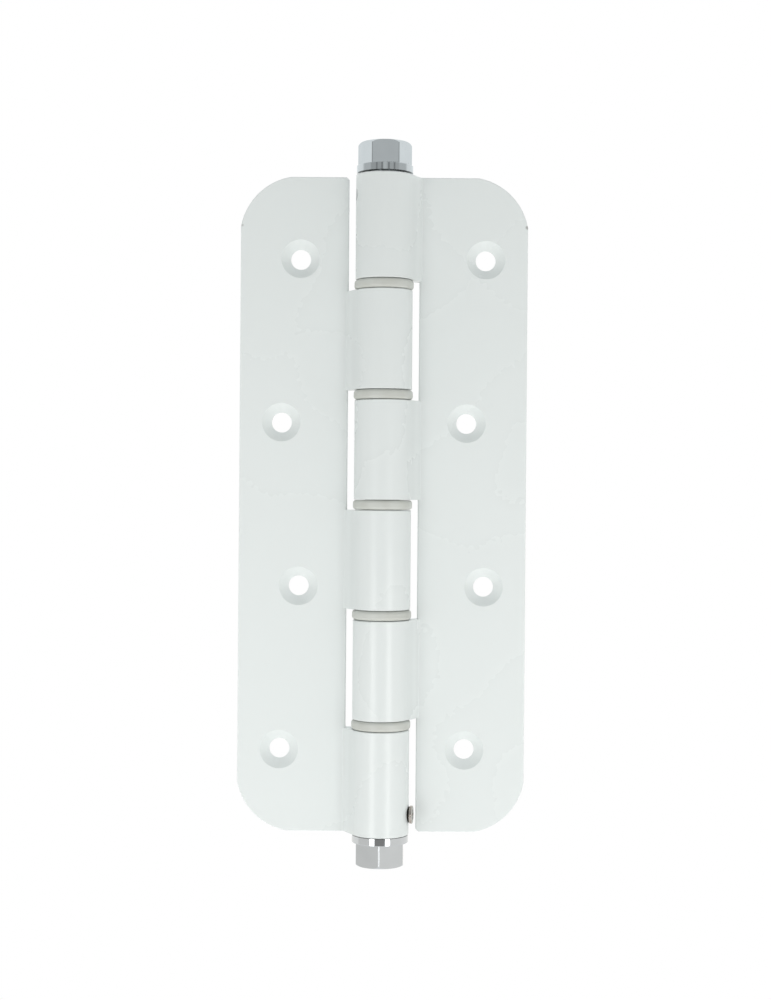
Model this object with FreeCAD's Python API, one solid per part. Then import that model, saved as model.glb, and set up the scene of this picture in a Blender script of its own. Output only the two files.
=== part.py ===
import FreeCAD, Part
import math
import os

# Single-action spring hinge, lying open flat with its countersunk faces towards -Y.
# +Z runs up the hinge axis and +X towards the right leaf. The origin lies on the hinge
# axis at half the height of the leaves. All sizes are in millimetres and degrees.

V = FreeCAD.Vector
ORIGIN = V(0, 0, 0)
AXIS_X = V(1, 0, 0)
AXIS_Y = V(0, 1, 0)
AXIS_Z = V(0, 0, 1)

# Leaves: each is one sheet, folded at its root and rolled into knuckles
LEAF_HEIGHT = 180.0
LEAF_REACH = 39.5          # hinge axis to the outer edge of a leaf
LEAF_FACE_DEPTH = 3.0      # hinge axis back to the front face of a leaf
SHEET = 3.0
CORNER_REACH = 13.6        # from where an outer corner would be sharp to the end of its arc
CORNER_RADIUS = 16.9       # a little more than the reach, so the arc meets the edges at a kink
BEND_RADIUS = 0.6          # inside of the fold between leaf and knuckle
EDGE_ROUND = 0.3           # worn-off edge of the punched sheet
SLOT_ROUND = 0.3           # rounded front edge of the leaf along a slot
CUT_CORNER_OVER = 0.5      # the cut inner corner reaches this far past that round

# Barrel: knuckles of both leaves in turn, with one bush between each two
BARREL_RADIUS = 7.85
KNUCKLES = 6
SEAM = 0.4                 # gap between the end of the roll and the web behind it
SLOT_CLEARANCE = 1.9       # barrel to the edge of the slot in the other leaf
FOLD_SETBACK = 0.5         # edge of a slot to the sharp line of the fold

# Countersunk holes, staggered in two rows
HOLE_RADIUS = 2.75
COUNTERSINK_RADIUS = 5.3
COUNTERSINK_ANGLE = 90.0
HOLE_ROW_OUTER = 28.0      # hinge axis to the outer row
HOLE_ROW_INNER = 23.0
HOLE_PITCH = 45.0          # along the hinge axis, from one row to the other
HOLE_COUNT = 4

# Bushes
FLANGE_PROUD = 0.25        # beyond the barrel
FLANGE_THICKNESS = 2.6
FLANGE_ROUND = 0.9
FLANGE_CLEARANCE = 0.12    # to the end face of a knuckle, each side
BUSH_WALL = 0.8
BUSH_REACH = 6.0           # length of a sleeve inside a knuckle
RUNNING_CLEARANCE = 0.05   # radial, between parts that turn on each other

# Caps
COLLAR_INSET = 0.15        # inside the barrel's outline
COLLAR_HEIGHT = 2.0
COLLAR_ROUND = 0.15
HEX_ACROSS_FLATS = 12.8
HEX_HEIGHT = 6.3
HEX_EDGE_ROUND = 0.35
HEX_END_RADIUS = 6.45      # flat round face left on the end of the hexagon
HEX_END_DROP = 0.95        # height of the turned-off corners
HEX_END_BULGE = 0.3        # share of that drop at the middle of the turned round
TOP_CAP_GAP = 0.45         # collar to the end of the barrel
BOTTOM_CAP_GAP = 0.12
TOP_HEX_TURN = 1.4         # small turn of a flat away from facing the front
BOTTOM_HEX_TURN = 32.0     # leaves a corner facing the front
PLUG_TO_BUSH = 2.5         # end of a plug to the sleeve in the same knuckle
PLUG_CHAMFER = 0.6

# Spring of square wire and the rod that guides it
WIRE = 1.8
SPRING_CLEARANCE = 0.25    # coil to the bore of a bush
SPRING_TURNS = 32
SPRING_END_GAP = 0.3       # coil to plug
SPRING_LEG = 4.0           # straight end inside the plug
LEG_THINNING = 0.05        # each side, where the wire was bent
LEG_CLEARANCE = 0.1
ROD_CLEARANCE = 0.35       # rod to the inside of the coil
ROD_SOCKET = 8.0           # depth of the blind bore in a plug
ROD_END_GAP = 0.3

# Screws in the sides of the end knuckles
SCREW_INSET = 5.5          # from the end of the barrel to the screw's axis
SCREW_ANGLE = 9.0          # turn of its axis from sideways towards the front
SCREW_RADIUS = 1.6
THREAD_CLEARANCE = 0.05
HEAD_RADIUS = 2.45
HEAD_HEIGHT = 1.1
HEAD_ROUND = 0.35
HEAD_SEAT_GAP = 0.02
RECESS_WIDTH = 0.75
RECESS_LENGTH = 2.8
RECESS_DEPTH = 0.7
GROOVE_DEPTH = 1.3         # turned groove in the plug of the bottom cap
GROOVE_CLEARANCE = 0.15    # round the tip of the lock screw
SET_SCREW_SUNK = 0.5       # below the outside of the knuckle
SET_SCREW_LENGTH = 3.8
SOCKET_ACROSS_FLATS = 1.5
SOCKET_DEPTH = 1.3

# Working values of the construction
COS_45 = math.sqrt(0.5)
NEAR = 0.01                # two positions this close count as one
OVERCUT = 0.05             # a cutter stands this far outside of the surface that it trims

# Sizes that follow from those above
HALF_HEIGHT = LEAF_HEIGHT / 2
BORE_RADIUS = BARREL_RADIUS - SHEET
KNUCKLE_PITCH = LEAF_HEIGHT / KNUCKLES
KNUCKLE_GAP = FLANGE_THICKNESS + 2 * FLANGE_CLEARANCE
SLOT_EDGE = BARREL_RADIUS + SLOT_CLEARANCE
INNER_CORNER = SLOT_ROUND + CUT_CORNER_OVER
BACK_DEPTH = LEAF_FACE_DEPTH + SHEET
CORNER_CENTRE = (CORNER_REACH + math.sqrt(2 * CORNER_RADIUS ** 2 - CORNER_REACH ** 2)) / 2
CORNER_MIDDLE = CORNER_CENTRE - CORNER_RADIUS * COS_45
FOLD_X = SLOT_EDGE + FOLD_SETBACK
FOLD_DISTANCE = math.hypot(FOLD_X, LEAF_FACE_DEPTH)
TANGENT_ANGLE = math.atan2(LEAF_FACE_DEPTH, FOLD_X) - math.acos(BARREL_RADIUS / FOLD_DISTANCE)
WEB_TURN = TANGENT_ANGLE + math.pi / 2
FOLD_START = FOLD_X + BEND_RADIUS * math.tan(WEB_TURN / 2)
PLUG_RADIUS = BORE_RADIUS - RUNNING_CLEARANCE
PLUG_DEPTH = KNUCKLE_PITCH - KNUCKLE_GAP / 2 - BUSH_REACH - PLUG_TO_BUSH
BUSH_BORE = PLUG_RADIUS - BUSH_WALL
PLUG_END_Z = HALF_HEIGHT - PLUG_DEPTH
SCREW_Z = HALF_HEIGHT - SCREW_INSET
SCREW_HOLE_RADIUS = SCREW_RADIUS + THREAD_CLEARANCE
GROOVE_RADIUS = PLUG_RADIUS - GROOVE_DEPTH
FLANGE_RADIUS = BARREL_RADIUS + FLANGE_PROUD
COLLAR_RADIUS = BARREL_RADIUS - COLLAR_INSET
COIL_RADIUS = BUSH_BORE - SPRING_CLEARANCE - WIRE / 2
ROD_RADIUS = COIL_RADIUS - WIRE / 2 - ROD_CLEARANCE


def polar(radius, angle):
    """Point in the plane of the section, with its angle in radians from +X."""
    return V(radius * math.cos(angle), radius * math.sin(angle), 0)


def rotated(shape, axis, degrees):
    """Copy of a shape turned about an axis through the origin."""
    copy = shape.copy()
    copy.rotate(ORIGIN, axis, degrees)
    return copy


def turned(points, arcs=(), sweep=360):
    """Solid of revolution about Z from (radius, height) points.

    arcs gives, for the side that starts at a point's number, a (radius, height) point that
    the side passes through, which makes it an arc. The sweep in degrees starts at +X.
    """
    middle = dict(arcs)
    corners = [V(radius, 0, height) for radius, height in points]
    edges = []
    for number, start in enumerate(corners):
        end = corners[(number + 1) % len(corners)]
        if number in middle:
            radius, height = middle[number]
            edges.append(Part.Arc(start, V(radius, 0, height), end).toShape())
        else:
            edges.append(Part.makeLine(start, end))
    return Part.Face(Part.Wire(edges)).revolve(ORIGIN, AXIS_Z, sweep)


def edge_ring(radius, sweep=360):
    """Ring that rounds the upper edge of a disc of this radius whose top lies at Z = 0."""
    inner = radius - EDGE_ROUND
    outer = radius + OVERCUT
    diagonal = EDGE_ROUND * COS_45
    points = [(inner, 0), (radius, -EDGE_ROUND), (outer, -EDGE_ROUND), (outer, 0)]
    return turned(points, {0: (inner + diagonal, diagonal - EDGE_ROUND)}, sweep)


def hexagon(across_flats, height, base, edge_round=0.0):
    """Upright hexagonal prism with two of its flats facing front and back."""
    corner = across_flats / math.sqrt(3)
    points = [polar(corner, math.radians(60 * k)) + V(0, 0, base) for k in range(7)]
    prism = Part.Face(Part.makePolygon(points)).extrude(V(0, 0, height))
    if edge_round:
        upright = [edge for edge in prism.Edges if abs(edge.BoundBox.ZLength - height) < NEAR]
        prism = prism.makeFillet(edge_round, upright)
    return prism


def knuckle_span(number):
    """Lowest and highest Z of a knuckle, counted from 0 at the top."""
    top = HALF_HEIGHT - KNUCKLE_PITCH * number
    bottom = top - KNUCKLE_PITCH
    if number > 0:
        top -= KNUCKLE_GAP / 2
    if number < KNUCKLES - 1:
        bottom += KNUCKLE_GAP / 2
    return bottom, top


def knuckle_section():
    """Face across a knuckle of the right leaf: the fold beside the plate, the web and the roll."""
    outer_tangent = polar(BARREL_RADIUS, TANGENT_ANGLE)
    inner_tangent = polar(BORE_RADIUS, TANGENT_ANGLE)

    # The fold turns about one centre, in front of the plate
    centre = V(FOLD_START, LEAF_FACE_DEPTH - BEND_RADIUS, 0)
    plate_normal = math.pi / 2
    half_turn = plate_normal + WEB_TURN / 2
    web_normal = plate_normal + WEB_TURN

    def on_fold(radius, angle):
        return centre + polar(radius, angle)

    # The roll runs over the front and stops a seam's width short of the web
    outer_end = math.acos((BORE_RADIUS - SEAM) / BARREL_RADIUS) + TANGENT_ANGLE
    end_angle = outer_end - 2 * math.pi
    middle_angle = (TANGENT_ANGLE + end_angle) / 2
    back = BEND_RADIUS + SHEET
    edges = [
        Part.Arc(on_fold(BEND_RADIUS, plate_normal), on_fold(BEND_RADIUS, half_turn),
                 on_fold(BEND_RADIUS, web_normal)).toShape(),
        Part.makeLine(on_fold(BEND_RADIUS, web_normal), outer_tangent),
        Part.Arc(outer_tangent, polar(BARREL_RADIUS, middle_angle),
                 polar(BARREL_RADIUS, end_angle)).toShape(),
        Part.makeLine(polar(BARREL_RADIUS, end_angle), polar(BORE_RADIUS, end_angle)),
        Part.Arc(polar(BORE_RADIUS, end_angle), polar(BORE_RADIUS, middle_angle),
                 inner_tangent).toShape(),
        Part.makeLine(inner_tangent, on_fold(back, web_normal)),
        Part.Arc(on_fold(back, web_normal), on_fold(back, half_turn),
                 on_fold(back, plate_normal)).toShape(),
        Part.makeLine(on_fold(back, plate_normal), on_fold(BEND_RADIUS, plate_normal)),
    ]
    return Part.Face(Part.Wire(edges))


def plate():
    """Flat part of the right leaf, which reaches further in along each slot."""
    rim = []
    for number in range(0, KNUCKLES, 2):
        bottom, top = knuckle_span(number)
        if number > 0:
            rim.append((SLOT_EDGE, top))
        rim += [(FOLD_START, top), (FOLD_START, bottom), (SLOT_EDGE, bottom)]
    rim += [(SLOT_EDGE, INNER_CORNER - HALF_HEIGHT), (SLOT_EDGE + INNER_CORNER, -HALF_HEIGHT),
            (LEAF_REACH, -HALF_HEIGHT), (LEAF_REACH, HALF_HEIGHT), rim[0]]
    outline = Part.makePolygon([V(x, LEAF_FACE_DEPTH, z) for x, z in rim])
    return Part.Face(outline).extrude(AXIS_Y * SHEET)


def corner_cuts():
    """Cutters for the two outer corners of the right leaf: their shape and their broken edges."""
    near = LEAF_REACH - CORNER_REACH
    far = LEAF_REACH + OVERCUT
    low = HALF_HEIGHT - CORNER_REACH
    high = HALF_HEIGHT + OVERCUT

    def at(x, z):
        return V(x, LEAF_FACE_DEPTH - OVERCUT, z)

    straight = [at(LEAF_REACH, low), at(far, low), at(far, high), at(near, high),
                at(near, HALF_HEIGHT)]
    edges = [Part.makeLine(start, end) for start, end in zip(straight, straight[1:])]
    middle = at(LEAF_REACH - CORNER_MIDDLE, HALF_HEIGHT - CORNER_MIDDLE)
    edges.append(Part.Arc(straight[-1], middle, straight[0]).toShape())
    waste = Part.Face(Part.Wire(edges)).extrude(AXIS_Y * (SHEET + 2 * OVERCUT))

    # The ring along the arc runs a little past the kink at each end of it
    kink = math.asin((CORNER_CENTRE - CORNER_REACH) / CORNER_RADIUS)
    first = math.degrees(kink - EDGE_ROUND / CORNER_RADIUS)
    ring = rotated(edge_ring(CORNER_RADIUS, 90 - 2 * first), AXIS_Z, first)
    front = rotated(ring, AXIS_X, 90)
    front.translate(V(LEAF_REACH - CORNER_CENTRE, LEAF_FACE_DEPTH, HALF_HEIGHT - CORNER_CENTRE))
    back = front.mirror(V(0, LEAF_FACE_DEPTH + SHEET / 2, 0), AXIS_Y)
    upper = [waste, front, back]
    return upper + [cutter.mirror(ORIGIN, AXIS_Z) for cutter in upper]


def slot_rounds():
    """Prisms that round the front edge of the right leaf along each slot."""
    def at(x, depth):
        return V(SLOT_EDGE + x, LEAF_FACE_DEPTH + depth, 0)

    middle = SLOT_ROUND * (1 - COS_45)
    corners = [at(SLOT_ROUND, 0), at(SLOT_ROUND, -OVERCUT), at(-OVERCUT, -OVERCUT),
               at(-OVERCUT, SLOT_ROUND), at(0, SLOT_ROUND)]
    edges = [Part.makeLine(start, end) for start, end in zip(corners, corners[1:])]
    edges.append(Part.Arc(corners[-1], at(middle, middle), corners[0]).toShape())
    section = Part.Face(Part.Wire(edges))
    rounds = []
    for number in range(1, KNUCKLES, 2):
        bottom, top = knuckle_span(number)
        top += KNUCKLE_GAP
        if number < KNUCKLES - 1:
            bottom -= KNUCKLE_GAP
        prism = section.extrude(V(0, 0, top - bottom))
        prism.translate(V(0, 0, bottom))
        rounds.append(prism)
    return rounds


def mounting_hole(x, z):
    """Straight hole with its countersink, to be cut from the front face."""
    rise = (COUNTERSINK_RADIUS - HOLE_RADIUS) / math.tan(math.radians(COUNTERSINK_ANGLE / 2))
    front = LEAF_FACE_DEPTH
    hole = Part.makeCylinder(HOLE_RADIUS, 2 * SHEET, V(x, front, z), AXIS_Y)
    funnel = Part.makeCone(COUNTERSINK_RADIUS, HOLE_RADIUS, rise, V(x, front, z), AXIS_Y)
    mouth = Part.makeCylinder(COUNTERSINK_RADIUS, SHEET, V(x, front, z), -AXIS_Y)
    return hole.fuse([funnel, mouth])


def screw_direction(side):
    """Outward direction of the screw in an end knuckle, on the right (1) or the left (-1)."""
    turn = math.radians(SCREW_ANGLE)
    return V(side * math.cos(turn), -math.sin(turn), 0)


def leaf():
    """The right leaf; the left one is the same sheet turned over end to end."""
    section = knuckle_section()
    knuckles = []
    for number in range(0, KNUCKLES, 2):
        bottom, top = knuckle_span(number)
        knuckle = section.extrude(V(0, 0, top - bottom))
        knuckle.translate(V(0, 0, bottom))
        knuckles.append(knuckle)
    sheet = rounded_rim(plate().fuse(knuckles).removeSplitter())
    sheet = sheet.cut(corner_cuts()).cut(slot_rounds())
    rows = (HOLE_ROW_OUTER, HOLE_ROW_INNER)
    for number in range(HOLE_COUNT):
        z = HOLE_PITCH * ((HOLE_COUNT - 1) / 2 - number)
        sheet = sheet.cut(mounting_hole(rows[number % 2], z))
    screw_hole = Part.makeCylinder(SCREW_HOLE_RADIUS, 2 * BARREL_RADIUS, V(0, 0, SCREW_Z),
                                   screw_direction(-1))
    return sheet.cut([screw_hole] + knuckle_rounds())


def rounded_rim(sheet):
    """Break the front and back edges of the plate's outer rim."""
    rim = []
    for edge in sheet.Edges:
        box = edge.BoundBox
        on_face = box.YLength < NEAR and min(abs(box.YMin - LEAF_FACE_DEPTH),
                                             abs(box.YMin - BACK_DEPTH)) < NEAR
        on_end = box.ZLength < NEAR and abs(abs(box.ZMin) - HALF_HEIGHT) < NEAR
        outside = box.XMax > LEAF_REACH - NEAR
        if on_face and (outside or on_end):
            rim.append(edge)
    return sheet.makeFillet(EDGE_ROUND, rim)


def knuckle_rounds():
    """Rings that break the outer edge of each inner end of the right leaf's knuckles."""
    ring = edge_ring(BARREL_RADIUS)
    rounds = []
    for number in range(0, KNUCKLES, 2):
        bottom, top = knuckle_span(number)
        if number > 0:
            upper = ring.copy()
            upper.translate(V(0, 0, top))
            rounds.append(upper)
        lower = rotated(ring, AXIS_X, 180)
        lower.translate(V(0, 0, bottom))
        rounds.append(lower)
    return rounds


def bush(z):
    """Flanged nylon bush round the hinge axis, with its flange centred at z."""
    half = FLANGE_THICKNESS / 2
    straight = half - FLANGE_ROUND
    reach = half + FLANGE_CLEARANCE + BUSH_REACH
    diagonal = FLANGE_ROUND * COS_45
    corner = FLANGE_RADIUS - FLANGE_ROUND
    points = [
        (BUSH_BORE, -reach), (PLUG_RADIUS, -reach), (PLUG_RADIUS, -half), (corner, -half),
        (FLANGE_RADIUS, -straight), (FLANGE_RADIUS, straight), (corner, half),
        (PLUG_RADIUS, half), (PLUG_RADIUS, reach), (BUSH_BORE, reach),
    ]
    arcs = {
        3: (corner + diagonal, -straight - diagonal),
        5: (corner + diagonal, straight + diagonal),
    }
    ring = turned(points, arcs)
    ring.translate(V(0, 0, z))
    return ring


def cap(gap, hex_turn):
    """Hexagon, collar and plug; Z = 0 is the end of the barrel and +Z points outwards."""
    collar_top = gap + COLLAR_HEIGHT
    end = collar_top + HEX_HEIGHT
    diagonal = COLLAR_ROUND * (1 - COS_45)
    body = turned([
        (0, -PLUG_DEPTH), (PLUG_RADIUS - PLUG_CHAMFER, -PLUG_DEPTH),
        (PLUG_RADIUS, -PLUG_DEPTH + PLUG_CHAMFER), (PLUG_RADIUS, gap), (COLLAR_RADIUS, gap),
        (COLLAR_RADIUS, collar_top - COLLAR_ROUND), (COLLAR_RADIUS - COLLAR_ROUND, collar_top),
        (0, collar_top),
    ], {5: (COLLAR_RADIUS - diagonal, collar_top - diagonal)})

    # The corners of the hexagon are turned off to a shallow dome
    corner = HEX_ACROSS_FLATS / math.sqrt(3)
    dome_middle = ((HEX_END_RADIUS + corner) / 2, end - HEX_END_BULGE * HEX_END_DROP)
    blank = turned([(0, gap), (corner, gap), (corner, end - HEX_END_DROP), (HEX_END_RADIUS, end),
                    (0, end)], {2: dome_middle})
    head = hexagon(HEX_ACROSS_FLATS, end - gap, gap, HEX_EDGE_ROUND).common(blank)
    body = body.fuse(rotated(head, AXIS_Z, hex_turn))

    # The plug takes the guide rod in the middle and the leg of the spring beside it
    socket = Part.makeCylinder(ROD_RADIUS + RUNNING_CLEARANCE, ROD_SOCKET, V(0, 0, -PLUG_DEPTH))
    width = WIRE + 2 * LEG_CLEARANCE
    leg_slot = Part.makeBox(BORE_RADIUS, width, SPRING_END_GAP + SPRING_LEG,
                            V(0, -width / 2, -PLUG_DEPTH))
    return body.cut(socket).cut(leg_slot)


def top_cap():
    """Cap that the set screw fixes to the right leaf."""
    body = cap(TOP_CAP_GAP, TOP_HEX_TURN)
    body.translate(V(0, 0, HALF_HEIGHT))
    tip = BARREL_RADIUS - SET_SCREW_SUNK - SET_SCREW_LENGTH - RUNNING_CLEARANCE
    outwards = screw_direction(-1)
    dimple = Part.makeCylinder(SCREW_HOLE_RADIUS, BARREL_RADIUS, outwards * tip + V(0, 0, SCREW_Z),
                               outwards)
    return body.cut(dimple)


def bottom_cap():
    """Cap that tightens the spring; a turned groove takes the tip of the lock screw."""
    body = rotated(cap(BOTTOM_CAP_GAP, BOTTOM_HEX_TURN), AXIS_X, 180)
    body.translate(V(0, 0, -HALF_HEIGHT))
    half = SCREW_RADIUS + GROOVE_CLEARANCE
    groove = turned([(GROOVE_RADIUS, -half), (BARREL_RADIUS, -half), (BARREL_RADIUS, half),
                     (GROOVE_RADIUS, half)])
    groove.translate(V(0, 0, -SCREW_Z))
    return body.cut(groove)


def along_screw(shape, side, z):
    """Lay a shape that was made along +Z into the hole of an end knuckle."""
    laid = rotated(shape, AXIS_Y, 90)
    laid = rotated(laid, AXIS_Z, -SCREW_ANGLE if side > 0 else 180 + SCREW_ANGLE)
    laid.translate(V(0, 0, z))
    return laid


def lock_screw():
    """Round-headed screw with a crossed recess, in the right side of the bottom knuckle."""
    seat = BARREL_RADIUS + HEAD_SEAT_GAP
    top = seat + HEAD_HEIGHT
    tip = GROOVE_RADIUS + GROOVE_CLEARANCE
    diagonal = HEAD_ROUND * (1 - COS_45)
    screw = turned([(0, tip), (SCREW_RADIUS, tip), (SCREW_RADIUS, seat), (HEAD_RADIUS, seat),
                    (HEAD_RADIUS, top - HEAD_ROUND), (HEAD_RADIUS - HEAD_ROUND, top), (0, top)],
                   {4: (HEAD_RADIUS - diagonal, top - diagonal)})
    for length, width in ((RECESS_LENGTH, RECESS_WIDTH), (RECESS_WIDTH, RECESS_LENGTH)):
        low = V(-length / 2, -width / 2, top - RECESS_DEPTH)
        screw = screw.cut(Part.makeBox(length, width, HEAD_HEIGHT, low))
    return along_screw(screw, 1, -SCREW_Z)


def top_set_screw():
    """Headless screw with a hexagon socket, sunk in the left side of the top knuckle."""
    outer = BARREL_RADIUS - SET_SCREW_SUNK
    screw = Part.makeCylinder(SCREW_RADIUS, SET_SCREW_LENGTH, V(0, 0, outer - SET_SCREW_LENGTH))
    socket = hexagon(SOCKET_ACROSS_FLATS, HEAD_HEIGHT + SOCKET_DEPTH, outer - SOCKET_DEPTH)
    return along_screw(screw.cut(socket), -1, SCREW_Z)


def torsion_spring():
    """Coil of square wire with a straight leg at each end, in the slots of the plugs."""
    half = PLUG_END_Z - SPRING_END_GAP - WIRE / 2
    path = Part.makeHelix(2 * half / SPRING_TURNS, 2 * half, COIL_RADIUS)
    side = WIRE / 2
    square = Part.makePolygon([V(COIL_RADIUS + a * side, 0, b * side) for a, b in
                               ((-1, -1), (1, -1), (1, 1), (-1, 1), (-1, -1))])
    coil = Part.Wire(path.Edges).makePipeShell([square], True, True)
    coil.translate(V(0, 0, -half))
    leg = WIRE - 2 * LEG_THINNING
    low = V(COIL_RADIUS - leg / 2, -leg / 2, 0)
    leg_length = side + SPRING_END_GAP + SPRING_LEG
    top_leg = Part.makeBox(leg, leg, leg_length, low + V(0, 0, half))
    bottom_leg = Part.makeBox(leg, leg, leg_length, low - V(0, 0, half + leg_length))
    return coil.fuse([top_leg, bottom_leg])


def guide_rod():
    """Plain pin inside the spring, with its ends in the sockets of the two plugs."""
    half = PLUG_END_Z + ROD_SOCKET - ROD_END_GAP
    return Part.makeCylinder(ROD_RADIUS, 2 * half, V(0, 0, -half))


def build():
    """All pieces by node name."""
    right = leaf()
    pieces = {
        "right_leaf": right,
        "left_leaf": rotated(right, AXIS_Y, 180),
        "top_cap": top_cap(),
        "bottom_cap": bottom_cap(),
        "torsion_spring": torsion_spring(),
        "guide_rod": guide_rod(),
        "lock_screw": lock_screw(),
        "top_set_screw": top_set_screw(),
    }
    for number in range(1, KNUCKLES):
        pieces[f"bearing_bush_{number}"] = bush(HALF_HEIGHT - KNUCKLE_PITCH * number)
    return pieces


os.makedirs("parts", exist_ok=True)
for name, shape in build().items():
    solids = shape.Solids
    print(f"{name}: {len(solids)} solid, {shape.Volume:.1f} mm3, valid {shape.isValid()}")
    solids[0].exportStep(f"parts/{name}.step")
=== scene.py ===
import logging
import math
from dataclasses import dataclass
from enum import Enum

import bpy
import numpy as np
from mathutils import Matrix, Vector


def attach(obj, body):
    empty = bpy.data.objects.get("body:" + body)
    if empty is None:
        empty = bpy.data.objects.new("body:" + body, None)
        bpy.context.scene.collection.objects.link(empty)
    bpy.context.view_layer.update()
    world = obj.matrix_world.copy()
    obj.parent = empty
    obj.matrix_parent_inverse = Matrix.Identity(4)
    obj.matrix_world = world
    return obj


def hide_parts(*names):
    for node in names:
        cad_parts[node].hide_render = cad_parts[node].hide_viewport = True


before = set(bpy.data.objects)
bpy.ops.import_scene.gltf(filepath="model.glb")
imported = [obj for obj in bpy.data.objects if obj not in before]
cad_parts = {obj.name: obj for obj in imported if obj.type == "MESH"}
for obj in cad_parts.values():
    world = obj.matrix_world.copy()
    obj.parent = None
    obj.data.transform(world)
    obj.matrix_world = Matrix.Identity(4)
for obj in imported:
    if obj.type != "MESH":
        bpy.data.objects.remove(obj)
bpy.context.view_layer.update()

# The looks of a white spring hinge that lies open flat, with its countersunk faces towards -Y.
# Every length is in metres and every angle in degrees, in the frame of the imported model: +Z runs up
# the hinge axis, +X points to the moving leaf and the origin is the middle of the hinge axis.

logging.basicConfig(level=logging.INFO, format="%(name)s: %(message)s")
log = logging.getLogger("hinge")

SHARP_EDGE = math.radians(35.0)
SMALLEST_DIVISOR = 1e-6
BUSH_COUNT = 5
# The energy of an area light of one square metre that shows as bright as plain white
ENERGY_PER_AREA = 4.0

# What a node's input takes: another node's output, a number, or the numbers of a colour or place
Value = bpy.types.NodeSocket | float | tuple[float, ...]
Colour = tuple[float, float, float]
Place = tuple[float, float, float]


class Body(Enum):
    """The bodies that new pieces ride on."""

    FIXED = "fixed_leaf"
    MOVING = "moving_leaf"


class Recess(Enum):
    """What a driver fits into at the end of a screw."""

    CROSS = "cross"
    HEXAGON = "hexagon"


class Graph:
    """A shader node tree with short calls for adding and joining its nodes.

    A Mix node takes its share at input 0, values at 2 and 3 and colours at 6 and 7. It gives a
    value at output 0 and a colour at output 2.
    """

    def __init__(self, tree: bpy.types.NodeTree) -> None:
        """Wrap a node tree.

        Args:
            tree: The tree to build in.
        """
        self.tree = tree

    def add(self, kind: str, inputs: dict[str | int, Value] | None = None,
            **settings: object) -> bpy.types.Node:
        """Add a node, set its properties and link or set its inputs.

        Args:
            kind: The node's type without the leading "ShaderNode".
            inputs: A socket or a plain value for each input, by its name or number.
            **settings: The node's own properties.

        Returns:
            The new node.
        """
        node = self.tree.nodes.new(kind if kind.startswith("Node") else "ShaderNode" + kind)
        for key, value in settings.items():
            setattr(node, key, value)
        for key, value in (inputs or {}).items():
            self.feed(node.inputs[key], value)
        return node

    def feed(self, port: bpy.types.NodeSocket, value: Value) -> None:
        """Link a socket to an input, or set the input to a plain value.

        Args:
            port: The input.
            value: What it takes. A colour may come without its alpha.
        """
        if isinstance(value, bpy.types.NodeSocket):
            self.tree.links.new(value, port)
        elif port.type == "RGBA" and len(value) == 3:
            port.default_value = (*value, 1.0)
        else:
            port.default_value = value

    def math(self, operation: str, first: Value, second: Value = 0.0) -> bpy.types.NodeSocket:
        """Add a Math node and give the socket of its result."""
        return self.add("Math", {0: first, 1: second}, operation=operation).outputs[0]

    def span(self, value: Value, source: tuple[Value, Value], target: tuple[Value, Value],
             smooth: bool = False) -> bpy.types.NodeSocket:
        """Map a value from one range to another, held at the ends.

        Args:
            value: The socket to map.
            source: Lowest and highest value that comes in.
            target: What these become.
            smooth: Whether the change eases in and out.

        Returns:
            The socket of the mapped value.
        """
        inputs = {0: value, 1: source[0], 2: source[1], 3: target[0], 4: target[1]}
        kind = "SMOOTHSTEP" if smooth else "LINEAR"
        return self.add("MapRange", inputs, interpolation_type=kind).outputs[0]

    def blend(self, share: Value, first: Value, second: Value) -> bpy.types.NodeSocket:
        """Mix two colours and give the socket of the mixed colour."""
        return self.add("Mix", {0: share, 6: first, 7: second}, data_type="RGBA").outputs[2]

    def mean(self, share: Value, first: Value, second: Value) -> bpy.types.NodeSocket:
        """Mix two values and give the socket of the mixed value."""
        return self.add("Mix", {0: share, 2: first, 3: second}, data_type="FLOAT").outputs[0]


class Effect:
    """A shader node group that is built once and placed in any material.

    A subclass names the group, its number inputs with their usual values and its outputs, and
    fills it. "Place" is always the first input and takes Object coordinates.
    """

    name = "effect"
    amounts: dict[str, float] = {}
    results: tuple[str, ...] = ()

    @classmethod
    def place(cls, graph: Graph, **amounts: float) -> bpy.types.Node:
        """Place the group in a material.

        Args:
            graph: The material's tree.
            **amounts: Values for the group's number inputs.

        Returns:
            The group's node.
        """
        tree = bpy.data.node_groups.get(cls.name) or cls.build()
        node = graph.add("Group", node_tree=tree)
        graph.feed(node.inputs["Place"], graph.add("TexCoord").outputs["Object"])
        for key, value in amounts.items():
            node.inputs[key].default_value = value
        return node

    @classmethod
    def build(cls) -> bpy.types.NodeTree:
        """Make the group's tree with its sockets and its inner nodes.

        Returns:
            The tree.
        """
        tree = bpy.data.node_groups.new(cls.name, "ShaderNodeTree")
        tree.interface.new_socket("Place", in_out="INPUT", socket_type="NodeSocketVector")
        for name, value in cls.amounts.items():
            socket = tree.interface.new_socket(name, in_out="INPUT", socket_type="NodeSocketFloat")
            socket.default_value = value
        for name in cls.results:
            tree.interface.new_socket(name, in_out="OUTPUT", socket_type="NodeSocketFloat")
        graph = Graph(tree)
        given = graph.add("NodeGroupInput")
        result = graph.add("NodeGroupOutput")
        for name, value in cls.inside(graph, given.outputs).items():
            graph.feed(result.inputs[name], value)
        return tree

    @classmethod
    def inside(cls, graph: Graph, given: bpy.types.NodeOutputs) -> dict[str, Value]:
        """Add the inner nodes.

        Args:
            graph: The group's tree.
            given: The sockets of the group's inputs.

        Returns:
            The socket that each of the group's outputs takes.
        """
        raise NotImplementedError


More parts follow.
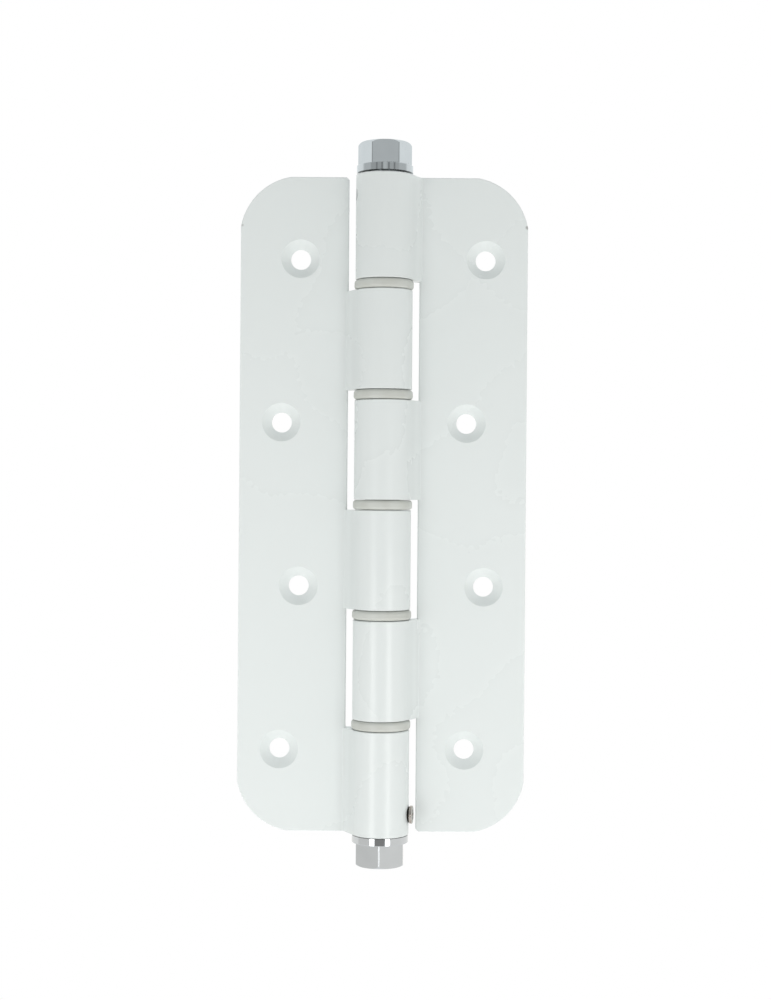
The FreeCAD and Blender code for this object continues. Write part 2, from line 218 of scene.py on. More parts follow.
class OrangePeel(Effect):
    """The gentle dimples of a sprayed and baked coating, with wide soft clouds of tone and gloss."""

    name = "orange_peel"
    amounts = {"Dimples": 650.0, "Patches": 25.0}
    results = ("Height", "Patch")
    detail = 1.0
    fine_roughness = 0.3
    wide_roughness = 0.4
    fine_share = 0.04
    patch_span = (0.3, 0.7)

    @classmethod
    def inside(cls, graph: Graph, given: bpy.types.NodeOutputs) -> dict[str, Value]:
        """Dimples are fine noise; patches are coarse noise with a share of it, eased from 0 to 1.

        Args:
            graph: The group's tree.
            given: The sockets of the group's inputs.

        Returns:
            The socket that each of the group's outputs takes.
        """
        fine = graph.add("TexNoise", {"Vector": given["Place"], "Scale": given["Dimples"],
                                      "Detail": cls.detail, "Roughness": cls.fine_roughness})
        wide = graph.add("TexNoise", {"Vector": given["Place"], "Scale": given["Patches"],
                                      "Detail": cls.detail, "Roughness": cls.wide_roughness})
        mixed = graph.mean(cls.fine_share, wide.outputs[0], fine.outputs[0])
        patch = graph.span(mixed, cls.patch_span, (0.0, 1.0), smooth=True)
        return {"Height": fine.outputs[0], "Patch": patch}


class Specks(Effect):
    """Scattered specks: a cell of a Voronoi pattern holds one where its own random value is high."""

    name = "specks"
    amounts = {"Cells": 220.0, "Share": 0.03, "Radius": 0.12}
    results = ("Mask",)
    fade = (0.6, 1.0)

    @classmethod
    def inside(cls, graph: Graph, given: bpy.types.NodeOutputs) -> dict[str, Value]:
        """The mask is 1 near the middle of the chosen cells and fades out at the radius.

        Args:
            graph: The group's tree.
            given: The sockets of the group's inputs.

        Returns:
            The socket that each of the group's outputs takes.
        """
        cells = graph.add("TexVoronoi", {"Vector": given["Place"], "Scale": given["Cells"]})
        chance = graph.add("SeparateColor", {0: cells.outputs["Color"]}).outputs[0]
        chosen = graph.math("GREATER_THAN", chance, graph.math("SUBTRACT", 1.0, given["Share"]))
        ratio = graph.math("DIVIDE", cells.outputs["Distance"], given["Radius"])
        inner = graph.span(ratio, cls.fade, (1.0, 0.0))
        return {"Mask": graph.math("MULTIPLY", chosen, inner)}


class Scratches(Effect):
    """Fine hairline scratches along one direction, from noise stretched across it."""

    name = "scratches"
    amounts = {"Across": 9000.0, "Along": 160.0}
    results = ("Height", "Mask")
    detail = 2.0
    line_span = (0.6, 0.72)

    @classmethod
    def inside(cls, graph: Graph, given: bpy.types.NodeOutputs) -> dict[str, Value]:
        """The pattern is squeezed along Z, so that its lines run round the axis.

        Args:
            graph: The group's tree.
            given: The sockets of the group's inputs.

        Returns:
            The socket that each of the group's outputs takes.
        """
        scale = graph.add("CombineXYZ", {0: given["Along"], 1: given["Along"], 2: given["Across"]})
        place = graph.add("VectorMath", {0: given["Place"], 1: scale.outputs[0]}, operation="MULTIPLY")
        lines = graph.add("TexNoise", {"Vector": place.outputs[0], "Scale": 1.0, "Detail": cls.detail})
        mask = graph.span(lines.outputs[0], cls.line_span, (0.0, 1.0))
        return {"Height": lines.outputs[0], "Mask": mask}


@dataclass(frozen=True)
class Finish:
    """What every finish has: a name, two near colours, a span of roughness and a bump."""

    name: str
    colour: Colour
    patch_colour: Colour
    roughness: tuple[float, float]
    metallic: float = 0.0
    bump: float = 0.1
    bump_depth: float = 0.00001

    def material(self) -> bpy.types.Material:
        """Make the material, or give the one that was made before.

        Returns:
            The material.
        """
        known = bpy.data.materials.get(self.name)
        if known:
            return known
        material = bpy.data.materials.new(self.name)
        material.use_nodes = True
        material.node_tree.nodes.clear()
        graph = Graph(material.node_tree)
        shader = graph.add("BsdfPrincipled", {"Metallic": self.metallic})
        output = graph.add("OutputMaterial")
        graph.feed(output.inputs["Surface"], shader.outputs[0])
        self.dress(graph, shader)
        material.diffuse_color = (*self.colour, 1.0)
        return material

    def dress(self, graph: Graph, shader: bpy.types.Node) -> None:
        """Feed the shader's colour, roughness and normal.

        Args:
            graph: The material's tree.
            shader: Its Principled BSDF.
        """
        raise NotImplementedError

    def raise_surface(self, graph: Graph, shader: bpy.types.Node, height: Value) -> None:
        """Turn a height pattern into the shader's normal."""
        inputs = {"Strength": self.bump, "Distance": self.bump_depth, "Height": height}
        graph.feed(shader.inputs["Normal"], graph.add("Bump", inputs).outputs[0])


@dataclass(frozen=True)
class DarkSpot:
    """A small dark round spot on the coat, with its strength from 0 to 1."""

    middle: Place
    radius: float
    strength: float


@dataclass(frozen=True)
class PowderCoat(Finish):
    """Glossy white coating with orange peel, faint cool patches, a few dark specks, two small dark
    spots near the top corners, and painted shade that darkens the barrel a little.
    """

    speck_colour: Colour = (0.16, 0.15, 0.13)
    speck_cells: float = 95.0
    speck_share: float = 0.012
    speck_radius: float = 0.035
    # Two small dark spots near the top corners of the plates, which darken the coat's colour
    dark_spots: tuple[DarkSpot, ...] = (
        DarkSpot(middle=(-0.0391, 0.003, 0.0766), radius=0.0005, strength=0.3),
        DarkSpot(middle=(0.0393, 0.003, 0.0765), radius=0.0007, strength=0.6),
    )
    spot_core: float = 0.4
    # painted shade: the share of the coat's colour that the barrel keeps
    barrel_shade_share: float = 0.955
    barrel_radius: float = 0.0083
    barrel_fade: float = 1.1

    def dress(self, graph: Graph, shader: bpy.types.Node) -> None:
        """Patches shift colour and gloss, painted shade darkens the barrel's colour, specks and dark
        spots darken the colour, and dimples move the normal.

        Args:
            graph: The material's tree.
            shader: Its Principled BSDF.
        """
        peel = OrangePeel.place(graph)
        specks = Specks.place(graph, Cells=self.speck_cells, Share=self.speck_share,
                              Radius=self.speck_radius)
        patch = peel.outputs["Patch"]
        toned = graph.blend(patch, self.colour, self.patch_colour)
        # painted shade: the barrel's colour is darkened a little below the plates' colour
        toned = graph.blend(self.on_barrel(graph), toned, self.barrel_shaded(graph, toned))
        marks = graph.math("MAXIMUM", specks.outputs["Mask"], self.spotted(graph))
        marked = graph.blend(marks, toned, self.speck_colour)
        graph.feed(shader.inputs["Base Color"], marked)
        graph.feed(shader.inputs["Roughness"], graph.span(patch, (0.0, 1.0), self.roughness))
        self.raise_surface(graph, shader, peel.outputs["Height"])

    def on_barrel(self, graph: Graph) -> bpy.types.NodeSocket:
        """The mask of the rolled knuckles: 1 within the barrel's radius of the hinge axis.

        Args:
            graph: The material's tree.

        Returns:
            The socket of the mask.
        """
        place = graph.add("TexCoord").outputs["Object"]
        level = graph.add("VectorMath", {0: place, 1: (1.0, 1.0, 0.0)}, operation="MULTIPLY")
        radius = graph.add("VectorMath", {0: level.outputs[0]}, operation="LENGTH").outputs["Value"]
        edge = (self.barrel_radius, self.barrel_fade * self.barrel_radius)
        return graph.span(radius, edge, (1.0, 0.0))

    def spotted(self, graph: Graph) -> bpy.types.NodeSocket:
        """The mask of the dark spots, which fade out from their core to their radius.

        Args:
            graph: The material's tree.

        Returns:
            The socket of the mask.
        """
        place = graph.add("TexCoord").outputs["Object"]
        mask = 0.0
        for dark_spot in self.dark_spots:
            away = graph.add("VectorMath", {0: place, 1: dark_spot.middle}, operation="DISTANCE")
            reach = (self.spot_core * dark_spot.radius, dark_spot.radius)
            spot = graph.span(away.outputs["Value"], reach, (dark_spot.strength, 0.0))
            mask = graph.math("MAXIMUM", mask, spot)
        return mask

    def barrel_shaded(self, graph: Graph, colour: Value) -> bpy.types.NodeSocket:
        """The colour of the rolled knuckles, a little greyer: painted shade that darkens the barrel.

        Args:
            graph: The material's tree.
            colour: The colour of the coat elsewhere.

        Returns:
            The socket of the greyer colour.
        """
        share = (self.barrel_shade_share,) * 3
        inputs = {0: 1.0, 6: colour, 7: share}
        return graph.add("Mix", inputs, data_type="RGBA", blend_type="MULTIPLY").outputs[2]


@dataclass(frozen=True)
class Plating(Finish):
    """Polished plating with patches of slight haze and hairlines that run round the axis."""

    hairlines: float = 9000.0
    dimples: float = 420.0
    patches: float = 260.0
    haze_share: float = 0.6
    line_share: float = 0.2

    def dress(self, graph: Graph, shader: bpy.types.Node) -> None:
        """Haze and hairlines roughen the polish, and the hairlines move the normal a little.

        Args:
            graph: The material's tree.
            shader: Its Principled BSDF.
        """
        peel = OrangePeel.place(graph, Dimples=self.dimples, Patches=self.patches)
        lines = Scratches.place(graph, Across=self.hairlines)
        toned = graph.blend(peel.outputs["Patch"], self.colour, self.patch_colour)
        haze = graph.math("MULTIPLY", peel.outputs["Patch"], self.haze_share)
        haze = graph.math("MAXIMUM", haze, lines.outputs["Mask"])
        graph.feed(shader.inputs["Base Color"], toned)
        graph.feed(shader.inputs["Roughness"], graph.span(haze, (0.0, 1.0), self.roughness))
        scored = graph.math("MULTIPLY", lines.outputs["Height"], self.line_share)
        self.raise_surface(graph, shader, graph.math("ADD", peel.outputs["Height"], scored))


@dataclass(frozen=True)
class MouldedNylon(Finish):
    """Matt grey-beige nylon with a fine spark texture and a few dark specks."""

    grain: float = 3200.0
    patches: float = 240.0
    speck_colour: Colour = (0.2, 0.18, 0.15)
    speck_cells: float = 420.0
    speck_share: float = 0.05
    speck_radius: float = 0.1
    speck_strength: float = 0.4

    def dress(self, graph: Graph, shader: bpy.types.Node) -> None:
        """Patches shift the tone, specks soil it, and a fine grain moves the normal.

        Args:
            graph: The material's tree.
            shader: Its Principled BSDF.
        """
        grain = OrangePeel.place(graph, Dimples=self.grain, Patches=self.patches)
        specks = Specks.place(graph, Cells=self.speck_cells, Share=self.speck_share,
                              Radius=self.speck_radius)
        patch = grain.outputs["Patch"]
        toned = graph.blend(patch, self.colour, self.patch_colour)
        faint = graph.math("MULTIPLY", specks.outputs["Mask"], self.speck_strength)
        graph.feed(shader.inputs["Base Color"], graph.blend(faint, toned, self.speck_colour))
        graph.feed(shader.inputs["Roughness"], graph.span(patch, (0.0, 1.0), self.roughness))
        self.raise_surface(graph, shader, grain.outputs["Height"])


@dataclass(frozen=True)
class ScrewPlating(Plating):
    """Worn plating of a small screw, with painted shade: the neck under its head is coloured near
    black.

    The neck is the stretch along the screw's own axis between two distances from the hinge axis.
    """

    # painted shade: the near black colour of the shaded neck under the head
    neck_shade: Colour = (0.03, 0.026, 0.022)
    neck: tuple[float, float] = (0.0076, 0.00828)

    def dress(self, graph: Graph, shader: bpy.types.Node) -> None:
        """The plating of the base class, with painted shade that darkens the colour in the neck.

        Args:
            graph: The material's tree.
            shader: Its Principled BSDF.
        """
        super().dress(graph, shader)
        place = graph.add("TexCoord").outputs["Object"]
        turn = math.radians(Screw.turn)
        axis = (math.cos(turn), -math.sin(turn), 0.0)
        along = graph.add("VectorMath", {0: place, 1: axis}, operation="DOT_PRODUCT").outputs["Value"]
        start = graph.math("GREATER_THAN", along, self.neck[0])
        end = graph.math("LESS_THAN", along, self.neck[1])
        base = shader.inputs["Base Color"].links[0].from_socket
        inside = graph.math("MULTIPLY", start, end)
        # painted shade: the neck under the head is coloured near black
        graph.feed(shader.inputs["Base Color"], graph.blend(inside, base, self.neck_shade))


COATING = PowderCoat(
    "white_powder_coat", colour=(0.81, 0.845, 0.838), patch_colour=(0.807, 0.842, 0.835),
    roughness=(0.24, 0.32), bump=0.07, bump_depth=0.00006)
CHROME = Plating(
    "polished_chrome", colour=(0.61, 0.635, 0.65), patch_colour=(0.59, 0.615, 0.63),
    roughness=(0.05, 0.12), metallic=1.0, bump=0.1, bump_depth=0.00003)
NYLON = MouldedNylon(
    "grey_nylon", colour=(0.60, 0.615, 0.58), patch_colour=(0.56, 0.57, 0.53),
    roughness=(0.42, 0.55), bump=0.2, bump_depth=0.00002)
SPRING_STEEL = Plating(
    "oiled_spring_steel", colour=(0.30, 0.29, 0.28), patch_colour=(0.22, 0.21, 0.20),
    roughness=(0.25, 0.45), metallic=1.0, bump=0.2, bump_depth=0.00002)
ROD_STEEL = Plating(
    "ground_steel", colour=(0.50, 0.50, 0.49), patch_colour=(0.44, 0.44, 0.43),
    roughness=(0.15, 0.35), metallic=1.0, bump=0.2, bump_depth=0.00001)
NICKEL = ScrewPlating(
    "worn_nickel", colour=(0.62, 0.59, 0.565), patch_colour=(0.52, 0.47, 0.43),
    roughness=(0.14, 0.3), metallic=1.0, bump=0.2, bump_depth=0.00003, hairlines=5000.0)
ZINC = Plating(
    "bright_zinc", colour=(0.78, 0.79, 0.80), patch_colour=(0.70, 0.71, 0.73),
    roughness=(0.18, 0.34), metallic=1.0, bump=0.2, bump_depth=0.00002, hairlines=5000.0)


@dataclass
class SubAssembly:
    """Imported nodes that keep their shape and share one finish."""

    nodes: tuple[str, ...]
    finish: Finish

    def build(self) -> None:
        """Give the finish to every material slot of each node."""
        for node in self.nodes:
            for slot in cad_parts[node].material_slots:
                slot.material = self.finish.material()
            log.info("%s keeps its packed shape and gets %s", node, self.finish.name)


@dataclass
class Leaves(SubAssembly):
    """The two folded and rolled sheets under one white coat."""

    nodes: tuple[str, ...] = ("left_leaf", "right_leaf")
    finish: Finish = COATING


@dataclass
class HexagonCaps(SubAssembly):
    """The bright caps at the two ends of the barrel."""

    nodes: tuple[str, ...] = ("top_cap", "bottom_cap")
    finish: Finish = CHROME


@dataclass
class BearingBushes(SubAssembly):
    """The flanged bushes between the knuckles."""

    nodes: tuple[str, ...] = tuple(f"bearing_bush_{number}" for number in range(1, BUSH_COUNT + 1))
    finish: Finish = NYLON


@dataclass
class SpringDrive(SubAssembly):
    """The spring inside the barrel, with the rod that guides it in a finish of its own."""

    nodes: tuple[str, ...] = ("torsion_spring",)
    finish: Finish = SPRING_STEEL

    def build(self) -> None:
        """Dress the spring and then the rod."""
        super().build()
        SubAssembly(("guide_rod",), ROD_STEEL).build()


@dataclass
class Screw:
    """A screw worked out as rings round its own axis, in place of the plain packed one.

    The axis starts on the hinge axis and points sideways, turned a little towards the front.
    Heights along it are measured from the hinge axis. A point of the surface lies at
    height * axis + radius * (cos(angle) * across + sin(angle) * up). The turn to the front is the
    same for every screw.
    """

    turn = 9.0

    node: str
    body: Body
    side: int
    height: float
    tip: float
    thread_end: float
    radius: float = 0.0016
    pitch: float = 0.0006
    thread_depth: float = 0.00026
    rings_per_turn: int = 10
    steps: int = 96
    recess_taper: float = 0.93
    point_width: float = 0.1
    point_depth: float = 1.1
    finish: Finish = NICKEL

    def build(self) -> None:
        """Make the mesh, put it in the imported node's place and dress it."""
        piece = closed_surface(f"{self.node}_threaded", self.placed(*self.rings()))
        piece.data.materials.append(self.finish.material())
        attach(piece, self.body.value)
        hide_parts(self.node)
        log.info("%s has %d faces and stands for %s", piece.name, len(piece.data.polygons), self.node)

    def rings(self) -> tuple[np.ndarray, np.ndarray]:
        """Work out the rings, from the tip outwards.

        Returns:
            The radius and the height of every point, by ring and by step.
        """
        raise NotImplementedError

    def angles(self) -> np.ndarray:
        """The angle of each step round the axis, in radians."""
        return np.arange(self.steps) * 2.0 * math.pi / self.steps

    def circle(self, radius: float, height: float) -> tuple[np.ndarray, np.ndarray]:
        """One plain round ring."""
        return np.full((1, self.steps), radius), np.full((1, self.steps), height)

    def thread(self) -> tuple[np.ndarray, np.ndarray]:
        """The threaded stretch with a taper at both ends.

        The groove is a triangle wave of height / pitch - angle / full turn, so that it climbs by
        one pitch in each turn. Its depth grows from nothing over the first and the last pitch.

        Returns:
            The radii and heights of the rings.
        """
        count = int((self.thread_end - self.tip) / self.pitch * self.rings_per_turn)
        heights = np.linspace(self.tip, self.thread_end, count)[:, None]
        phase = (heights / self.pitch - self.angles()[None, :] / (2.0 * math.pi)) % 1.0
        wave = 1.0 - np.abs(2.0 * phase - 1.0)
        grown = np.minimum(heights - self.tip, self.thread_end - heights) / self.pitch
        radii = self.radius - self.thread_depth * wave * np.clip(grown, 0.0, 1.0)
        return radii, np.broadcast_to(heights, radii.shape)

    def recess(self, shape: Recess, size: float, width: float, mouth: float,
               depth: float) -> tuple[np.ndarray, np.ndarray]:
        """A driver's recess: its outline at the mouth, a narrower one at its floor, and a point.

        A hexagon's outline is half its width across flats over cos(angle from the nearest flat).
        A cross is the further of two bars, each of which ends at the nearer of its end and side.

        Args:
            shape: Cross or hexagon.
            size: Length of the cross or width of the hexagon across its flats.
            width: Width of the cross's arms, which a hexagon makes no use of.
            mouth: Height of the face that the recess is cut into.
            depth: How deep it goes.

        Returns:
            The radii and heights of the rings.
        """
        angle = self.angles()
        if shape is Recess.HEXAGON:
            outline = size / 2 / np.cos(angle % (math.pi / 3) - math.pi / 6)
        else:
            flat = np.maximum(np.abs([np.cos(angle), np.sin(angle)]), SMALLEST_DIVISOR)
            bars = [np.minimum(size / 2 / flat[k], width / 2 / flat[1 - k]) for k in (0, 1)]
            outline = np.maximum(*bars)
        radii = np.stack([outline, self.recess_taper * outline, self.point_width * outline])
        levels = [[mouth], [mouth - depth], [mouth - self.point_depth * depth]]
        return radii, np.repeat(levels, self.steps, axis=1)

    def placed(self, radii: np.ndarray, heights: np.ndarray) -> np.ndarray:
        """Turn radii and heights into points, by the formula of the class.

        Args:
            radii: The radius of every point, by ring and by step.
            heights: Its height along the screw's axis.

        Returns:
            An array of rings, steps and coordinates.
        """
        turn = math.radians(self.turn)
        axis = np.array([self.side * math.cos(turn), -math.sin(turn), 0.0])
        across = np.array([-axis[1], axis[0], 0.0])
        angle = self.angles()[None, :, None]
        round_axis = np.cos(angle) * across + np.sin(angle) * np.array([0.0, 0.0, 1.0])
        points = heights[..., None] * axis + radii[..., None] * round_axis
        return points + np.array([0.0, 0.0, self.height])


@dataclass
class LockScrew(Screw):
    """The round-headed screw that holds the bottom cap, with a neck and a fine turned line."""

    node: str = "lock_screw"
    body: Body = Body.FIXED
    side: int = 1
    height: float = -0.0845
    tip: float = 0.00378
    thread_end: float = 0.0077
    seat: float = 0.00787
    neck_radius: float = 0.0022
    neck_end: float = 0.00826
    head_radius: float = 0.00245
    head_top: float = 0.00897
    line_height: float = 0.00862
    line_size: float = 0.00005
    line_depth: float = 0.000075
    edge_round: float = 0.00014
    edge_rings: int = 6
    cross_length: float = 0.0028
    cross_width: float = 0.00075
    cross_depth: float = 0.0007

    def rings(self) -> tuple[np.ndarray, np.ndarray]:
        """Tip chamfer, thread, neck, head with its turned line and round edge, and the cross.

        Returns:
            The radius and the height of every point, by ring and by step.
        """
        chamfer = self.thread_depth
        line = self.line_size
        corner = np.linspace(0.0, math.pi / 2, self.edge_rings)
        edge = [self.circle(self.head_radius - self.edge_round * (1.0 - math.cos(bend)),
                            self.head_top - self.edge_round * (1.0 - math.sin(bend)))
                for bend in corner]
        parts = [
            self.circle(self.radius - chamfer, self.tip - chamfer / 2), self.thread(),
            self.circle(self.radius, self.seat), self.circle(self.neck_radius, self.seat),
            self.circle(self.neck_radius, self.neck_end),
            self.circle(self.head_radius - line, self.neck_end),
            self.circle(self.head_radius, self.neck_end + line),
            self.circle(self.head_radius, self.line_height - line),
            self.circle(self.head_radius - self.line_depth, self.line_height),
            self.circle(self.head_radius, self.line_height + line), *edge,
            self.recess(Recess.CROSS, self.cross_length, self.cross_width, self.head_top,
                        self.cross_depth),
        ]
        return tuple(np.concatenate(rows) for rows in zip(*parts))


@dataclass
class SetScrew(Screw):
    """The headless screw that fixes the top cap, sunk in its knuckle."""

    node: str = "top_set_screw"
    body: Body = Body.MOVING
    side: int = -1
    height: float = 0.0845
    tip: float = 0.0037
    thread_end: float = 0.0072
    face: float = 0.00735
    socket_width: float = 0.0015
    socket_depth: float = 0.0013
    finish: Finish = ZINC

    def rings(self) -> tuple[np.ndarray, np.ndarray]:
        """Cup edge, thread, chamfer, flat face and the hexagon socket.

        Returns:
            The radius and the height of every point, by ring and by step.
        """
        chamfer = self.face - self.thread_end
        parts = [
            self.circle(self.radius - self.thread_depth, self.tip - chamfer), self.thread(),
            self.circle(self.radius - chamfer, self.face),
            self.recess(Recess.HEXAGON, self.socket_width, 0.0, self.face, self.socket_depth),
        ]
        return tuple(np.concatenate(rows) for rows in zip(*parts))


def closed_surface(name: str, points: np.ndarray) -> bpy.types.Object:
    """Join rings of points by quads and close the first and the last ring round a middle point.

    Args:
        name: The piece's name.
        points: An array of rings, steps and coordinates. The steps turn to the right about the
            way from the first ring to the last, which makes the faces point outwards.

    Returns:
        The new object, at the origin and in the scene.
    """
    rings, steps = points.shape[:2]
    number = np.arange(rings * steps).reshape(rings, steps)
    after = np.roll(number, -1, axis=1)
    quads = np.stack([number[:-1], after[:-1], after[1:], number[1:]], axis=-1).reshape(-1, 4)
    first, last = rings * steps, rings * steps + 1
    start = np.stack([np.full(steps, first), after[0], number[0]], axis=-1)
    end = np.stack([np.full(steps, last), number[-1], after[-1]], axis=-1)
    places = np.concatenate([points.reshape(-1, 3), points[[0, -1]].mean(axis=1)])
    mesh = bpy.data.meshes.new(name)
    mesh.from_pydata(places.tolist(), [], quads.tolist() + start.tolist() + end.tolist())
    mesh.shade_smooth()
    mesh.set_sharp_from_angle(angle=SHARP_EDGE)
    piece = bpy.data.objects.new(name, mesh)
    bpy.context.scene.collection.objects.link(piece)
    return piece


@dataclass
class Surroundings:
    """The white tent round the hinge: white to the camera, and grey in front to every other ray.

    Azimuths are measured from straight in front and are positive to the right. A grey cloth hangs
    in front and reaches round to both sides, where the tent is white. Below the horizon the cloth
    is lighter on the right, and has a dark patch under the camera. Above the horizon it is darker
    beside the middle and has narrow dark gaps, which the bright caps mirror. Steeply overhead it has
    one even level. Each panel is given by its azimuth and by its share of the level around it.
    """

    side_level: float = 1.0
    cloth_reach: tuple[float, float] = (91.0, 106.0)
    white: Colour = (1.0, 1.0, 1.0)
    lower_tint: Colour = (1.015, 1.0, 0.975)
    upper_tint: Colour = (0.975, 1.015, 1.02)
    lower_left: float = 0.8
    lower_right: float = 0.93
    lower_turn: float = 60.0
    patch_level: float = 0.3
    patch_reach: tuple[float, float] = (20.0, 22.0)
    patch_heights: tuple[float, float] = (-0.13, -0.09)
    upper_level: float = 0.63
    panels: tuple[tuple[float, float], ...] = ((-34.0, 0.72), (33.0, 0.8))
    panel_reach: tuple[float, float] = (22.0, 30.0)
    gap_level: float = 0.28
    gap_azimuths: tuple[float, ...] = (-34.0, -12.0, 15.5, 39.0)
    gap_reach: tuple[float, float] = (2.5, 9.0)
    horizon: tuple[float, float] = (-0.02, 0.06)
    overhead: tuple[float, float] = (0.66, 0.84)
    overhead_level: float = 0.62

    def build(self) -> None:
        """Make the world and give it to the scene."""
        world = bpy.data.worlds.new("white_surroundings")
        world.use_nodes = True
        world.node_tree.nodes.clear()
        graph = Graph(world.node_tree)
        way = graph.add("SeparateXYZ", {0: graph.add("TexCoord").outputs["Generated"]}).outputs
        azimuth = graph.math("ARCTAN2", way["X"], graph.math("MULTIPLY", way["Y"], -1.0))
        azimuth = graph.math("DEGREES", azimuth)
        above = graph.span(way["Z"], self.horizon, (0.0, 1.0), smooth=True)
        share = graph.mean(above, self.lower(graph, azimuth, way["Z"]), self.upper(graph, azimuth))
        steep = graph.span(way["Z"], self.overhead, (0.0, 1.0), smooth=True)
        share = graph.mean(steep, share, self.overhead_level)
        aside = graph.math("ABSOLUTE", azimuth)
        cloth = graph.span(aside, self.cloth_reach, (1.0, 0.0), smooth=True)
        level = graph.mean(cloth, self.side_level, share)
        direct = graph.add("LightPath").outputs["Is Camera Ray"]
        tint = graph.blend(direct, graph.blend(above, self.lower_tint, self.upper_tint), self.white)
        sky = graph.add("Background", {"Color": tint, "Strength": graph.math("MAXIMUM", level, direct)})
        graph.feed(graph.add("OutputWorld").inputs["Surface"], sky.outputs[0])
        bpy.context.scene.world = world
        log.info("the surroundings are built")

    def lower(self, graph: Graph, azimuth: Value, height: Value) -> bpy.types.NodeSocket:
        """The cloth's level below the horizon.

        Args:
            graph: The world's tree.
            azimuth: The ray's azimuth in degrees.
            height: Its slope upwards.

        Returns:
            The socket of the level.
        """
        level = graph.span(azimuth, (-self.lower_turn, self.lower_turn),
                           (self.lower_left, self.lower_right))
        inside = graph.span(graph.math("ABSOLUTE", azimuth), self.patch_reach, (1.0, 0.0), smooth=True)
        low = graph.span(height, self.patch_heights, (1.0, 0.0), smooth=True)
        return graph.mean(graph.math("MULTIPLY", inside, low), level, self.patch_level)

    def upper(self, graph: Graph, azimuth: Value) -> bpy.types.NodeSocket:
        """The cloth's level above the horizon, with its two darker panels and its gaps.

        Args:
            graph: The world's tree.
            azimuth: The ray's azimuth in degrees.

        Returns:
            The socket of the level.
        """
        level = self.upper_level
        for middle, share in self.panels:
            panel = graph.span(self.off(graph, azimuth, middle), self.panel_reach, (share, 1.0),
                               smooth=True)
            level = graph.math("MULTIPLY", level, panel)
        for middle in self.gap_azimuths:
            gap = graph.span(self.off(graph, azimuth, middle), self.gap_reach, (self.gap_level, 1.0))
            level = graph.math("MINIMUM", level, gap)
        return level

    def off(self, graph: Graph, azimuth: Value, middle: float) -> bpy.types.NodeSocket:
        """How far the azimuth lies from a given one, to either side."""
        return graph.math("ABSOLUTE", graph.math("SUBTRACT", azimuth, middle))


@dataclass
class Floor:
    """A round matt floor below the view, which keeps the hinge's shadow and is white to the camera."""

    height: float = -0.3
    radius: float = 0.55
    corners: int = 96
    white: float = 0.5
    plain_white: Colour = (1.0, 1.0, 1.0)
    roughness: float = 0.9
    colour: Colour = (0.86, 0.865, 0.865)
    cloud_share: float = 0.985
    clouds: float = 9.0

    def build(self) -> None:
        """Make the disc: radius * (cos, sin) of each corner's angle, at one height."""
        angles = np.linspace(0.0, 2.0 * math.pi, self.corners, endpoint=False)
        rim = np.stack([self.radius * np.cos(angles), self.radius * np.sin(angles),
                        np.full_like(angles, self.height)], axis=1)
        mesh = bpy.data.meshes.new("floor")
        mesh.from_pydata(rim.tolist(), [], [list(range(self.corners))])
        mesh.materials.append(self.material())
        floor = bpy.data.objects.new("floor", mesh)
        bpy.context.scene.collection.objects.link(floor)
        log.info("the floor is built")

    def material(self) -> bpy.types.Material:
        """Matt and pale, with a share of white that the camera sees, and plain white in a mirror.

        Returns:
            The material.
        """
        material = bpy.data.materials.new("pale_floor")
        material.use_nodes = True
        material.node_tree.nodes.clear()
        graph = Graph(material.node_tree)
        path = graph.add("LightPath").outputs
        mirrored = graph.math("MAXIMUM", path["Is Glossy Ray"], path["Is Transmission Ray"])
        peel = OrangePeel.place(graph, Patches=self.clouds)
        cloud = tuple(self.cloud_share * part for part in self.colour)
        shader = graph.add("BsdfPrincipled", {
            "Base Color": graph.blend(peel.outputs["Patch"], self.colour, cloud),
            "Roughness": self.roughness,
            "Emission Color": self.plain_white,
            "Emission Strength": graph.math("MULTIPLY", path["Is Camera Ray"], self.white),
        })
        plain = graph.add("Emission", {"Color": self.plain_white, "Strength": 1.0})
        shown = graph.add("MixShader", {0: mirrored, 1: shader.outputs[0], 2: plain.outputs[0]})
        graph.feed(graph.add("OutputMaterial").inputs["Surface"], shown.outputs[0])
        return material


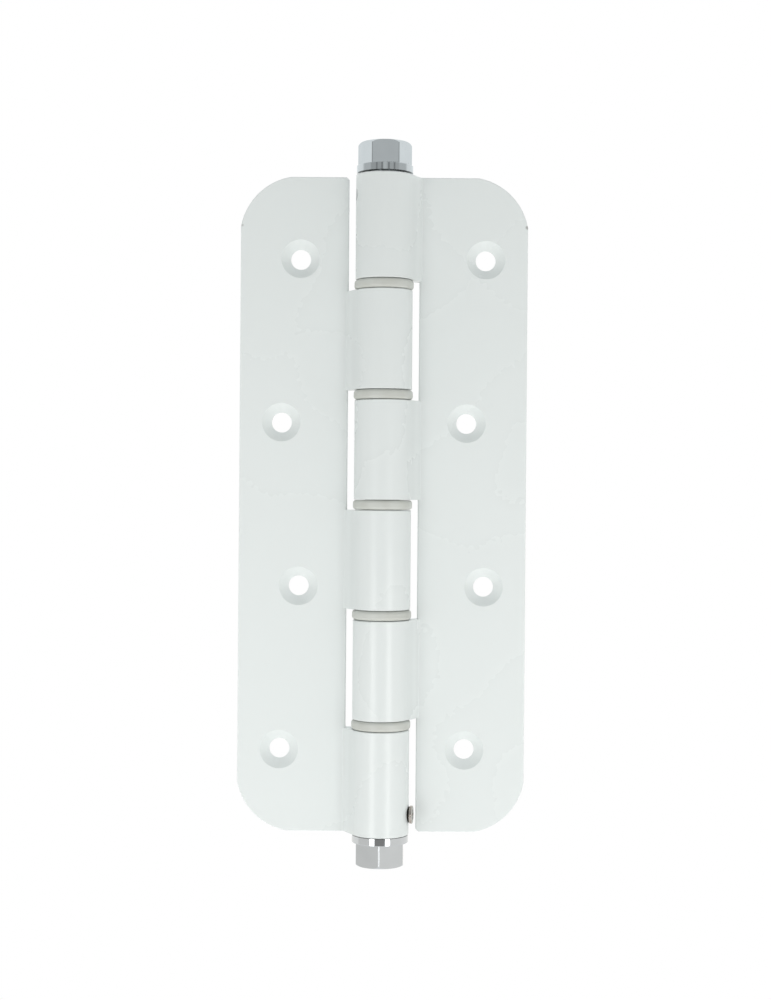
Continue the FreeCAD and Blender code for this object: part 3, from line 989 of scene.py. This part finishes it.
@dataclass
class Lights:
    """Two upright strip lights beside the camera, and a ring of soft warm lights low down."""

    strip_azimuths: tuple[float, float] = (-32.5, 31.5)
    strip_distance: float = 0.5
    strip_top: float = -0.013
    strip_size: tuple[float, float] = (0.165, 0.27)
    strip_radiance: float = 2.3
    strip_colour: Colour = (1.0, 1.0, 1.0)
    ring_lights: int = 5
    ring_reach: float = 80.0
    ring_radius: float = 0.33
    ring_height: float = -0.235
    ring_aim: float = -0.06
    ring_size: tuple[float, float] = (0.23, 0.12)
    ring_radiance: float = 0.62
    ring_colour: Colour = (1.0, 0.96, 0.9)

    def build(self) -> None:
        """Make both strips and the ring."""
        for azimuth in self.strip_azimuths:
            self.strip(math.radians(azimuth))
        for azimuth in np.linspace(-self.ring_reach, self.ring_reach, self.ring_lights):
            self.low_light(math.radians(azimuth))
        log.info("the lights are built")

    def area(self, name: str, place: Vector, aim: Vector, size: tuple[float, float],
             colour: Colour, radiance: float) -> bpy.types.Object:
        """Add a rectangular light whose brightness doesn't depend on its size.

        Args:
            name: The light's name.
            place: Its middle.
            aim: The point that it faces.
            size: Its width and its height.
            colour: The colour of its light.
            radiance: How bright it shows in a mirror, where 1 is plain white.

        Returns:
            The light's object.
        """
        light = bpy.data.lights.new(name, "AREA")
        light.shape = "RECTANGLE"
        light.size, light.size_y = size
        light.color = colour
        light.energy = ENERGY_PER_AREA * radiance * size[0] * size[1]
        lamp = bpy.data.objects.new(name, light)
        lamp.location = place
        lamp.rotation_mode = "QUATERNION"
        lamp.rotation_quaternion = (aim - place).to_track_quat("-Z", "Y")
        lamp.visible_camera = False
        bpy.context.scene.collection.objects.link(lamp)
        return lamp

    def strip(self, azimuth: float) -> None:
        """An upright strip light beside the camera, from just under mid-height down.

        Args:
            azimuth: Its place round the hinge, from straight in front.
        """
        middle = self.strip_top - self.strip_size[1] / 2
        place = Vector((self.strip_distance * math.sin(azimuth),
                        -self.strip_distance * math.cos(azimuth), middle))
        self.area("strip_light", place, Vector((0, 0, middle)), self.strip_size,
                  self.strip_colour, self.strip_radiance)

    def low_light(self, azimuth: float) -> None:
        """A soft light low beside the hinge, unseen in mirrors, which lifts the lower half's tone.

        Args:
            azimuth: Its place round the hinge, from straight in front.
        """
        place = Vector((self.ring_radius * math.sin(azimuth), -self.ring_radius * math.cos(azimuth),
                        self.ring_height))
        lamp = self.area("low_light", place, Vector((0, 0, self.ring_aim)), self.ring_size,
                         self.ring_colour, self.ring_radiance)
        lamp.visible_glossy = False


@dataclass
class PhotoCamera:
    """The camera in front of the hinge, turned so that the hinge leans as the photograph shows.

    It is shifted across and up, so that the hinge also stands where the photograph shows it.
    """

    lens: float = 63.7
    distance: float = 0.4840
    elevation: float = 0.30
    lean: float = 0.45
    across: float = 0.00084
    up: float = 0.00132
    nearest: float = 0.01

    def build(self) -> None:
        """Make the camera and make it the scene's."""
        raised, lean = math.radians(self.elevation), math.radians(self.lean)
        behind = Vector((0, -math.cos(raised), math.sin(raised)))
        level, upright = Vector((1, 0, 0)), Vector((0, math.sin(raised), math.cos(raised)))
        right = math.cos(lean) * level + math.sin(lean) * upright
        upward = math.cos(lean) * upright - math.sin(lean) * level
        camera = bpy.data.objects.new("camera", bpy.data.cameras.new("camera"))
        camera.data.lens = self.lens
        camera.data.clip_start = self.nearest
        place = self.across * right + self.up * upward + self.distance * behind
        turn = Matrix((right, upward, behind)).transposed()
        camera.matrix_world = Matrix.Translation(place) @ turn.to_4x4()
        bpy.context.scene.collection.objects.link(camera)
        bpy.context.scene.camera = camera
        log.info("the camera is built")


def main() -> None:
    """Build the surroundings, the camera and each sub-assembly in order."""
    bpy.context.scene.view_settings.view_transform = "Standard"
    for part in (Surroundings(), Floor(), Lights(), PhotoCamera(), Leaves(), HexagonCaps(),
                 BearingBushes(), SpringDrive(), LockScrew(), SetScrew()):
        part.build()


if __name__ == "__main__":
    main()
